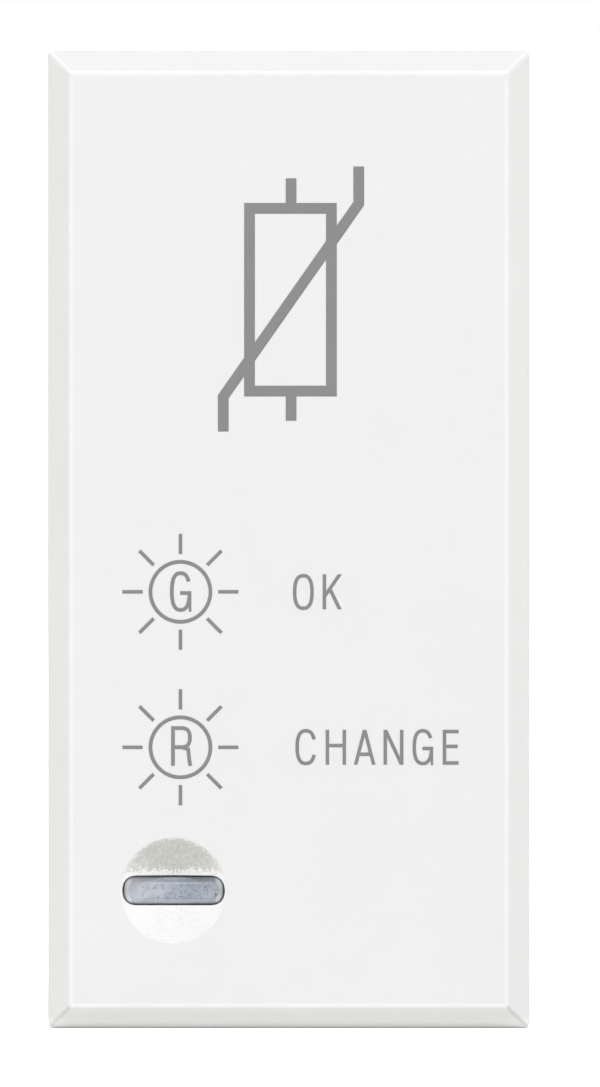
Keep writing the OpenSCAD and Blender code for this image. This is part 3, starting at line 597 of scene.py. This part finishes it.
metalSettings = {
    "fuse": {"colour": (0.7, 0.68, 0.62), "stretch": (6, 6, 0.8), "rough": (0.28, 0.42)},
    "bar": {"colour": (0.78, 0.58, 0.28), "stretch": (1.0, 9, 6), "rough": (0.25, 0.4)},
    "cage": {"colour": (0.66, 0.66, 0.64), "stretch": (6, 6, 0.7), "rough": (0.3, 0.48)},
    "screw": {"colour": (0.7, 0.69, 0.66), "stretch": (7, 0.8, 7), "rough": (0.25, 0.4)},
}
for s in metalSettings.values():
    s.update(change=0.12, edge=0.07, wear=1.0, wornColour=lighter(s["colour"], lift=1.2), depth=0.003)

# The resin that seals one end of a fuse
fuseResin = {"middle": (0, 0, 0), "axis": 2, "rings": ((3.52, 0.42, (0.45, 0.26, 0.1)),)}
fuse, fuseTree, fuseShader = makeMetal("fuseMetal", metalSettings["fuse"])
paintRings(fuseTree, fuseShader, fuseResin)
dress(fuse, "thermal_fuse_line", "thermal_fuse_neutral")
lines = ("line", "neutral", "earth")
dress(makeMetal("barBrass", metalSettings["bar"])[0], *["contact_bar_" + line for line in lines])
dress(makeMetal("cageSteel", metalSettings["cage"])[0], *["clamp_cage_" + line for line in lines])

# The driver slots get painted shade, and the shank under the head has a fine thread
screwSettings = dict(metalSettings["screw"], slotFrom=0.15, slotFade=0.3, slotColour=(0.05, 0.05, 0.05),
                     slotShade=0.72, headHigh=2.0, pitch=0.6, threadDepth=0.12)


def makeScrew(s):
    material, tree, shader = makeMetal("screwSteel", s)
    y = split(tree, pointFrom(tree))[1]
    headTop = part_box("terminal_screw_line")[1][1] / mm
    slotFrom = headTop - s["slotFrom"]
    # painted shade in the driver slots
    deep = fade(tree, y, slotFrom, slotFrom - s["slotFade"])
    layOver(tree, shader, times(tree, deep, s["slotShade"]), s["slotColour"])
    wave = calc(tree, "SINE", times(tree, y, 2 * math.pi / s["pitch"]))
    onShank = isBelow(tree, y, headTop - s["headHigh"])
    addBump(tree, shader, times(tree, wave, onShank), s["threadDepth"])
    return material


dress(makeScrew(screwSettings), *["terminal_screw_" + line for line in lines])
print("materials on the solids")


# Signs printed on the face, in ink a little thicker than nothing
printSettings = {
    "y": -9.0, "thick": 0.012, "stroke": 0.16, "lampStroke": 0.171, "ringStroke": 0.169,
    "symbolStroke": 0.492, "ink": (0.258, 0.258, 0.256),
}
inkLook = componentLook(printSettings["ink"], change=0.05, grain=6.0, depth=0.001, rough=(0.45, 0.6))
ink = makePlastic("printInk", inkLook)[0]
strokeLimits = {"slant": 0.2, "mitre": 0.3}   # keep the cut of a flat slant or a sharp turn short


# A straight stroke as a four-cornered patch; its ends are cut square, or level with the line
def bar(a, b, width, levelEnds=False):
    a, b = Vector(a), Vector(b)
    along = (b - a).normalized()
    side = Vector((-along.y, along.x)) * width / 2
    if levelEnds:
        side = Vector((-1, 0)) * width / 2 / max(abs(along.y), strokeLimits["slant"])
    return [a + side, b + side, b - side, a - side]


# The patches of a pen line through the points, mitred where it turns
def penLine(points, width, closed=False):
    points = [Vector(p) for p in points]
    count = len(points)
    sides = []
    for i, p in enumerate(points):
        before = points[i - 1] if i or closed else None
        after = points[(i + 1) % count] if i < count - 1 or closed else None
        into = (p - before).normalized() if before is not None else (after - p).normalized()
        out = (after - p).normalized() if after is not None else into
        normal = Vector((-into.y - out.y, into.x + out.x)).normalized()
        reach = width / 2 / max(normal.dot(Vector((-out.y, out.x))), strokeLimits["mitre"])
        sides.append((p + normal * reach, p - normal * reach))
    ends = sides[1:] + sides[:1] if closed else sides[1:]
    return [[a[0], b[0], b[1], a[1]] for a, b in zip(sides, ends)]


# Points on a squarish oval from one angle to another
def oval(middle, halfWidth, halfHeight, start=0, end=360, steps=40, square=2.5):
    found = []
    for i in range(steps + 1):
        angle = math.radians(start + (end - start) * i / steps)
        c, s = math.cos(angle), math.sin(angle)
        found.append((middle[0] + halfWidth * math.copysign(abs(c) ** (2 / square), c),
                      middle[1] + halfHeight * math.copysign(abs(s) ** (2 / square), s)))
    return found


# Shapes of the letters: the angles where C and G open, shares of the height and width, and steps in mm
letterForms = {
    "endsC": (23, 337), "endsG": (28, 345), "barG": 0.463, "spurG": 0.7, "pastG": 0.02,
    "jointK": 0.36, "kneeK": (0.38, 0.56), "liftH": 0.08, "barA": 0.3, "insetA": 0.18, "liftE": 0.04,
    "waistR": 0.47, "bowlR": (80, -80), "bowlSteps": 16,
    "legR": ((0.02, 0.0), (-0.08, -0.1), (-0.03, 0.3), (0.02, 0.0)),
}


# The patches of a letter that fills the box (left, right, low, high) with strokes w wide
def letterShapes(letter, box, w, f=letterForms):
    x0, x1, z0, z1 = box
    h = w / 2
    left, right, low, high = x0 + h, x1 - h, z0 + h, z1 - h
    middle = ((x0 + x1) / 2, (z0 + z1) / 2)
    wide, tall = (x1 - x0) / 2 - h, (z1 - z0) / 2 - h

    def upright(x):
        return bar((x, z0), (x, z1), w)

    def across(z, start=left, end=x1):
        return bar((start, z), (end, z), w)

    def slant(a, b):
        return bar(a, b, w, levelEnds=True)

    if letter == "O":
        return penLine(oval(middle, wide, tall)[:-1], w, closed=True)
    if letter == "C":
        return penLine(oval(middle, wide, tall, *f["endsC"]), w)
    if letter == "G":
        bend = z0 + f["barG"] * (z1 - z0)
        spur = f["spurG"] * w
        return penLine(oval(middle, wide, tall, *f["endsG"]), w) + [
            bar((right, z0 + 2 * w), (right, bend + h), w),
            bar((x1 - spur / 2, z0), (x1 - spur / 2, bend), spur),
            across(bend, right, middle[0] - f["pastG"])]
    if letter == "K":
        joint = z0 + f["jointK"] * (z1 - z0)
        knee = (left + f["kneeK"][0] * (right - left), z0 + f["kneeK"][1] * (z1 - z0))
        return [upright(left), slant((left, joint), (right, z1)), slant(knee, (right, z0))]
    if letter == "H":
        return [upright(left), upright(right), across(middle[1] + f["liftH"], left, right)]
    if letter == "A":
        cross = z0 + f["barA"] * (z1 - z0)
        return [slant((left, z0), (middle[0], z1)), slant((right, z0), (middle[0], z1)),
                across(cross, left + f["insetA"], right - f["insetA"])]
    if letter == "N":
        return [upright(left), upright(right), slant((left, z1), (right, z0))]
    if letter == "E":
        return [upright(left), across(low), across(high),
                across(middle[1] + f["liftE"], left, x1 - f["liftE"])]
    if letter == "L":
        return [upright(left), across(low)]
    if letter == "R":
        waist = z0 + f["waistR"] * (z1 - z0)
        turn = (left + right) / 2
        bend = oval((turn, (high + waist) / 2), (right - left) / 2, (high - waist) / 2,
                    *f["bowlR"], f["bowlSteps"])
        bowl = [(left, high), (turn, high)] + bend + [(turn, waist), (left, waist)]
        corners = ((middle[0], waist), (right, waist), (right, z0), (right, z0))
        leg = [(x + dx, z + dz) for (x, z), (dx, dz) in zip(corners, f["legR"])]
        return [upright(left)] + penLine(bowl, w) + penLine(leg, w)
    raise ValueError(letter)


def addPiece(name, data):
    piece = bpy.data.objects.new(name, data)
    bpy.context.scene.collection.objects.link(piece)
    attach(piece, "module")
    return piece


mergeWithin = 1e-6


# Patches that may overlap become one flat sign at y, lifted by its thickness
def flatSign(name, patches, y, lift, material):
    points, faces = [], []
    for patch in patches:
        area = sum(a.x * b.y - b.x * a.y for a, b in zip(patch, patch[1:] + patch[:1]))
        faces.append(list(range(len(points), len(points) + len(patch))))
        points += patch if area > 0 else patch[::-1]
    found, _, cells, _, _, fromPatches = delaunay_2d_cdt(points, [], faces, 0, mergeWithin)
    mesh = bmesh.new()
    corners = [mesh.verts.new((p.x * mm, y * mm, p.y * mm)) for p in found]
    for cell, patch in zip(cells, fromPatches):
        if patch:
            mesh.faces.new([corners[i] for i in cell])
    lifted = bmesh.ops.extrude_face_region(mesh, geom=mesh.faces[:])["geom"]
    moved = [v for v in lifted if isinstance(v, bmesh.types.BMVert)]
    bmesh.ops.translate(mesh, verts=moved, vec=(0, lift * mm, 0))
    bmesh.ops.recalc_face_normals(mesh, faces=mesh.faces[:])
    data = bpy.data.meshes.new(name)
    mesh.to_mesh(data)
    mesh.free()
    data.materials.append(material)
    addPiece(name, data)


def printSign(name, patches):
    flatSign(name, patches, printSettings["y"], -printSettings["thick"], ink)


varistorSign = {
    "left": -2.049, "right": 2.21, "low": 6.587, "high": 15.483, "leadX": 0.11, "leadLow": 5.469,
    "leadHigh": 16.619, "slash": [(-3.011, 4.972), (-3.011, 6.569), (3.222, 15.455), (3.222, 17.162)],
}


def printVaristorSign(s, w):
    h = w / 2
    left, right, low, high = s["left"] + h, s["right"] - h, s["low"] + h, s["high"] - h
    patches = penLine([(left, low), (right, low), (right, high), (left, high)], w, closed=True)
    patches += penLine(s["slash"], w)
    patches += [bar((s["leadX"], low), (s["leadX"], s["leadLow"]), w),
                bar((s["leadX"], high), (s["leadX"], s["leadHigh"]), w)]
    printSign("varistor_sign", patches)


# Each lamp has its name, its height, and its letter with the box that it fills
lampSigns = {
    "x": -4.979, "radius": 1.464, "steps": 72,
    "rays": 8, "rayIn": 1.739, "rayOut": 2.668, "rayWidth": 0.162,
    "lamps": (("ok_lamp", -2.401, "G", (-5.462, -4.478, -3.321, -1.458)),
              ("change_lamp", -9.554, "R", (-5.407, -4.46, -10.405, -8.583))),
}


def printLampSigns(s, p):
    half = s["radius"] - p["ringStroke"] / 2
    for name, z, letter, box in s["lamps"]:
        circle = oval((s["x"], z), half, half, steps=s["steps"], square=2)[:-1]
        ring = penLine(circle, p["ringStroke"], closed=True)
        printSign(name + "_sign", ring + letterShapes(letter, box, p["lampStroke"]))


words = {
    "ok_word": [("O", 0.195, 1.152, -3.238, -1.582), ("K", 1.562, 2.431, -3.206, -1.596)],
    "change_word": [("C", 0.31, 1.272, -10.377, -8.712), ("H", 1.7, 2.638, -10.354, -8.749),
                    ("A", 2.997, 3.99, -10.354, -8.749), ("N", 4.363, 5.278, -10.354, -8.749),
                    ("G", 5.697, 6.644, -10.377, -8.712), ("E", 7.086, 7.813, -10.354, -8.749)],
}

printVaristorSign(varistorSign, printSettings["symbolStroke"])
printLampSigns(lampSigns, printSettings)
for name, letters in words.items():
    patches = []
    for letter, *box in letters:
        patches += letterShapes(letter, box, printSettings["stroke"])
    printSign(name, patches)


# Raised signs beside the screw wells; seen from behind, so the letters are turned round
backSigns = {
    "y": 32.0, "thick": 0.16, "stroke": 0.36, "height": 2.4, "width": 1.5, "colour": (0.5, 0.5, 0.49),
    "letters": (("line_sign", "L", -4.7), ("neutral_sign", "N", 4.7)), "letterZ": 6.9,
    "earthZ": -6.9, "earthBars": (1.3, 0.85, 0.4), "earthStep": 0.6, "earthShare": 0.8, "stemTo": 0.1,
}


def raiseBackSigns(s):
    look = componentLook(s["colour"], change=0.05, grain=4.0, depth=0.004, rough=(0.45, 0.6))
    pale = makePlastic("signPale", look)[0]
    wide, tall = s["width"] / 2, s["height"] / 2
    for name, letter, x in s["letters"]:
        shapes = letterShapes(letter, (-wide, wide, s["letterZ"] - tall, s["letterZ"] + tall), s["stroke"])
        turned = [[Vector((x - p.x, p.y)) for p in shape] for shape in shapes]
        flatSign(name, turned, s["y"], s["thick"], pale)
    stemTo = s["earthZ"] + s["stemTo"]
    shapes = [bar((0, s["earthZ"] + tall), (0, stemTo), s["stroke"])]
    for i, reach in enumerate(s["earthBars"]):
        z = stemTo - i * s["earthStep"]
        shapes.append(bar((-reach, z), (reach, z), s["stroke"] * s["earthShare"]))
    flatSign("earth_sign", shapes, s["y"], s["thick"], pale)


raiseBackSigns(backSigns)


# Rays round a lamp sign, one bar on each point of a ring
def buildRayTree():
    tree, given, out = newTree(
        "GeometryNodeTree", "lampRays",
        [("Rays", "Int", 8), ("Inner", "Float", 1.7), ("Outer", "Float", 2.6), ("Width", "Float", 0.16),
         ("Thick", "Float", 0.01), ("Finish", "Material", None)],
        [("Geometry", "Geometry")])
    length = minus(tree, given["Outer"], given["Inner"])
    middle = times(tree, plus(tree, given["Outer"], given["Inner"]), 0.5)
    size = put(tree, "ShaderNodeCombineXYZ", {"X": length, "Y": given["Width"], "Z": given["Thick"]})
    ray = put(tree, "GeometryNodeMeshCube", {"Size": size.outputs[0]})
    ring = put(tree, "GeometryNodeMeshCircle", {"Vertices": given["Rays"], "Radius": middle})
    where = put(tree, "GeometryNodeInputPosition")
    turn = put(tree, "FunctionNodeAlignRotationToVector", {"Vector": where.outputs[0]},
               axis="X", pivot_axis="Z")
    rays = put(tree, "GeometryNodeInstanceOnPoints", {
        "Points": ring.outputs[0], "Instance": ray.outputs[0], "Rotation": turn.outputs[0]})
    real = put(tree, "GeometryNodeRealizeInstances", {"Geometry": rays.outputs[0]})
    finish = {"Geometry": real.outputs[0], "Material": given["Finish"]}
    feed(tree, out["Geometry"], put(tree, "GeometryNodeSetMaterial", finish).outputs[0])
    return tree


# A tree's result as a plain mesh, moved to its place
def bakeTree(name, tree, values, place, source=None):
    carrier = bpy.data.objects.new(name + ".carrier", source or bpy.data.meshes.new(name + ".carrier"))
    bpy.context.scene.collection.objects.link(carrier)
    modifier = carrier.modifiers.new("nodes", "NODES")
    modifier.node_group = tree
    for item in tree.interface.items_tree:
        if item.in_out == "INPUT" and item.name in values:
            modifier[item.identifier] = values[item.name]
    bpy.context.view_layer.update()
    evaluated = carrier.evaluated_get(bpy.context.evaluated_depsgraph_get())
    data = bpy.data.meshes.new_from_object(evaluated)
    carrier.modifiers.remove(modifier)
    bpy.data.objects.remove(carrier)
    data.transform(place)
    data.name = name
    return addPiece(name, data)


# A place on the part in mm, for a tree's result that is turned up to face the front
def facingFront(x, y, z):
    return Matrix.Translation((x * mm, y * mm, z * mm)) @ Matrix.Rotation(math.radians(90), 4, "X")


def printLampRays(s, p):
    tree = buildRayTree()
    for name, z, *_ in s["lamps"]:
        bakeTree(name + "_rays", tree,
                 {"Rays": s["rays"], "Inner": s["rayIn"] * mm, "Outer": s["rayOut"] * mm,
                  "Width": s["rayWidth"] * mm, "Thick": p["thick"] * mm, "Finish": ink},
                 facingFront(s["x"], p["y"] - p["thick"] / 2, z))


printLampRays(lampSigns, printSettings)
print("signs printed")

# Solder on the board's front, where a lead comes through; leads are given across and up
solderSettings = {
    "boardFront": -0.6, "foot": 0.72, "tip": 0.36, "height": 0.6, "sides": 14, "rings": 4, "hollow": 0.9,
    "colour": (0.72, 0.72, 0.71), "rough": (0.15, 0.3),
    "varistorLeads": [(-4.4, -3.75), (-3.0, 3.75), (3.0, -3.75), (4.4, 3.75)],
    "fuseLeads": [(0, -4.3), (0, 4.3), (0, -5.5), (0, 5.5)],
    "tubeLeads": [(-4.0, -12.5), (4.0, -12.5)],
    "capacitorLeads": [(-3.9375, 15.5), (3.9375, 15.5)],
    "resistorLeads": [(-3.6, 12.1), (3.6, 12.1), (-3.6, 9.8), (3.6, 9.8)],
    "diodeLeads": [(-5.8, -14.3), (-5.8, -9.7), (5.8, -14.3), (5.8, -9.7)],
}


def buildSolderTree():
    tree, given, out = newTree(
        "GeometryNodeTree", "solderJoints",
        [("Spots", "Geometry", None), ("Foot", "Float", 0.7), ("Tip", "Float", 0.35),
         ("Height", "Float", 0.6), ("Hollow", "Float", 0.9), ("Sides", "Int", 14), ("Rings", "Int", 4),
         ("Finish", "Material", None)],
        [("Geometry", "Geometry")])
    cone = put(tree, "GeometryNodeMeshCone", {
        "Vertices": given["Sides"], "Side Segments": given["Rings"], "Radius Top": given["Tip"],
        "Radius Bottom": given["Foot"], "Depth": given["Height"]})
    # pull the side in, so that the cone is hollow as solder is
    x, y, z = split(tree, put(tree, "GeometryNodeInputPosition").outputs[0])
    share = calc(tree, "DIVIDE", z, given["Height"])
    waist = flip(tree, times(tree, share, flip(tree, share), given["Hollow"]))
    pulled = put(tree, "ShaderNodeCombineXYZ", {
        "X": times(tree, x, waist), "Y": times(tree, y, waist), "Z": z})
    shaped = put(tree, "GeometryNodeSetPosition", {
        "Geometry": cone.outputs[0], "Position": pulled.outputs[0]})
    joints = put(tree, "GeometryNodeInstanceOnPoints", {
        "Points": given["Spots"], "Instance": shaped.outputs[0]})
    real = put(tree, "GeometryNodeRealizeInstances", {"Geometry": joints.outputs[0]})
    smooth = put(tree, "GeometryNodeSetShadeSmooth", {"Geometry": real.outputs[0]})
    finish = {"Geometry": smooth.outputs[0], "Material": given["Finish"]}
    feed(tree, out["Geometry"], put(tree, "GeometryNodeSetMaterial", finish).outputs[0])
    return tree


def solderBoard(s):
    spots = []
    for part in ("varistor", "fuse", "tube", "capacitor", "resistor", "diode"):
        spots += [(x * mm, -z * mm, 0) for x, z in s[part + "Leads"]]
    points = bpy.data.meshes.new("solderSpots")
    points.from_pydata(spots, [], [])
    look = dict(metalSettings["fuse"], colour=s["colour"], wornColour=s["colour"], rough=s["rough"])
    joints = bakeTree("solder_joints", buildSolderTree(),
                      {"Foot": s["foot"] * mm, "Tip": s["tip"] * mm, "Height": s["height"] * mm,
                       "Hollow": s["hollow"], "Sides": s["sides"], "Rings": s["rings"],
                       "Finish": makeMetal("solderTin", look)[0]},
                      facingFront(0, s["boardFront"], 0), points)


solderBoard(solderSettings)
print("board soldered")


# The floor stands just under the part; the world gives even light and a white background
stageSettings = {
    "floorZ": -0.022505, "floorSize": 8.0, "floorColour": (0.94, 0.94, 0.91), "floorRough": 0.8,
    "lift": 0.42, "ambient": (0.568, 0.566, 0.522), "background": (1.0, 1.0, 1.0),
}


def buildFloor(s):
    mesh = bmesh.new()
    bmesh.ops.create_grid(mesh, x_segments=1, y_segments=1, size=s["floorSize"] / 2)
    data = bpy.data.meshes.new("floor")
    mesh.to_mesh(data)
    mesh.free()
    floor = bpy.data.objects.new("floor", data)
    floor.location.z = s["floorZ"]
    bpy.context.scene.collection.objects.link(floor)
    material, tree, shader = startMaterial("paleFloor", s["floorColour"], Roughness=s["floorRough"])
    seen = put(tree, "ShaderNodeLightPath").outputs["Is Camera Ray"]
    shader.inputs["Emission Color"].default_value = (*s["background"], 1)
    feed(tree, shader.inputs["Emission Strength"], times(tree, seen, s["lift"]))
    data.materials.append(material)


def buildWorld(s):
    world = bpy.data.worlds.new("studio")
    world.use_nodes = True
    bpy.context.scene.world = world
    tree = world.node_tree
    path = put(tree, "ShaderNodeLightPath").outputs
    seen = largest(tree, path["Is Camera Ray"], path["Is Glossy Ray"], path["Is Transmission Ray"])
    colour = blendColours(tree, seen, s["ambient"], s["background"])
    feed(tree, tree.nodes["Background"].inputs["Color"], colour)


buildFloor(stageSettings)
buildWorld(stageSettings)

# Where each lamp stands (towards it from the object), its distance, size, watts and colour
lamps = {
    "keyTop": {"towards": (0.08, -0.645, 0.9), "away": 3.0, "size": (1.8, 1.35), "watts": 47.2,
               "colour": (0.881, 0.89, 1)},
    "sideLeft": {"towards": (-1, -0.1, 0.1), "away": 3.0, "size": (0.8, 1.8), "watts": 0.6,
                 "colour": (1, 1, 1)},
    "sideRight": {"towards": (1, -0.1, 0.1), "away": 3.0, "size": (0.8, 1.8), "watts": 0.6,
                  "colour": (1, 1, 1)},
    "back": {"towards": (-0.4, 0.8, 0.5), "away": 3.0, "size": (1.5, 1.5), "watts": 17.0,
             "colour": (0.93, 0.95, 1)},
}
for name, s in lamps.items():
    data = bpy.data.lights.new(name, "AREA")
    data.shape = "RECTANGLE"
    data.size, data.size_y = s["size"]
    data.energy = s["watts"]
    data.color = s["colour"]
    lamp = bpy.data.objects.new(name, data)
    towards = Vector(s["towards"]).normalized()
    lamp.location = towards * s["away"]
    lamp.rotation_euler = towards.to_track_quat("Z", "Y").to_euler()
    bpy.context.scene.collection.objects.link(lamp)
bpy.context.scene.view_settings.view_transform = "Standard"
print("stage and lamps set")
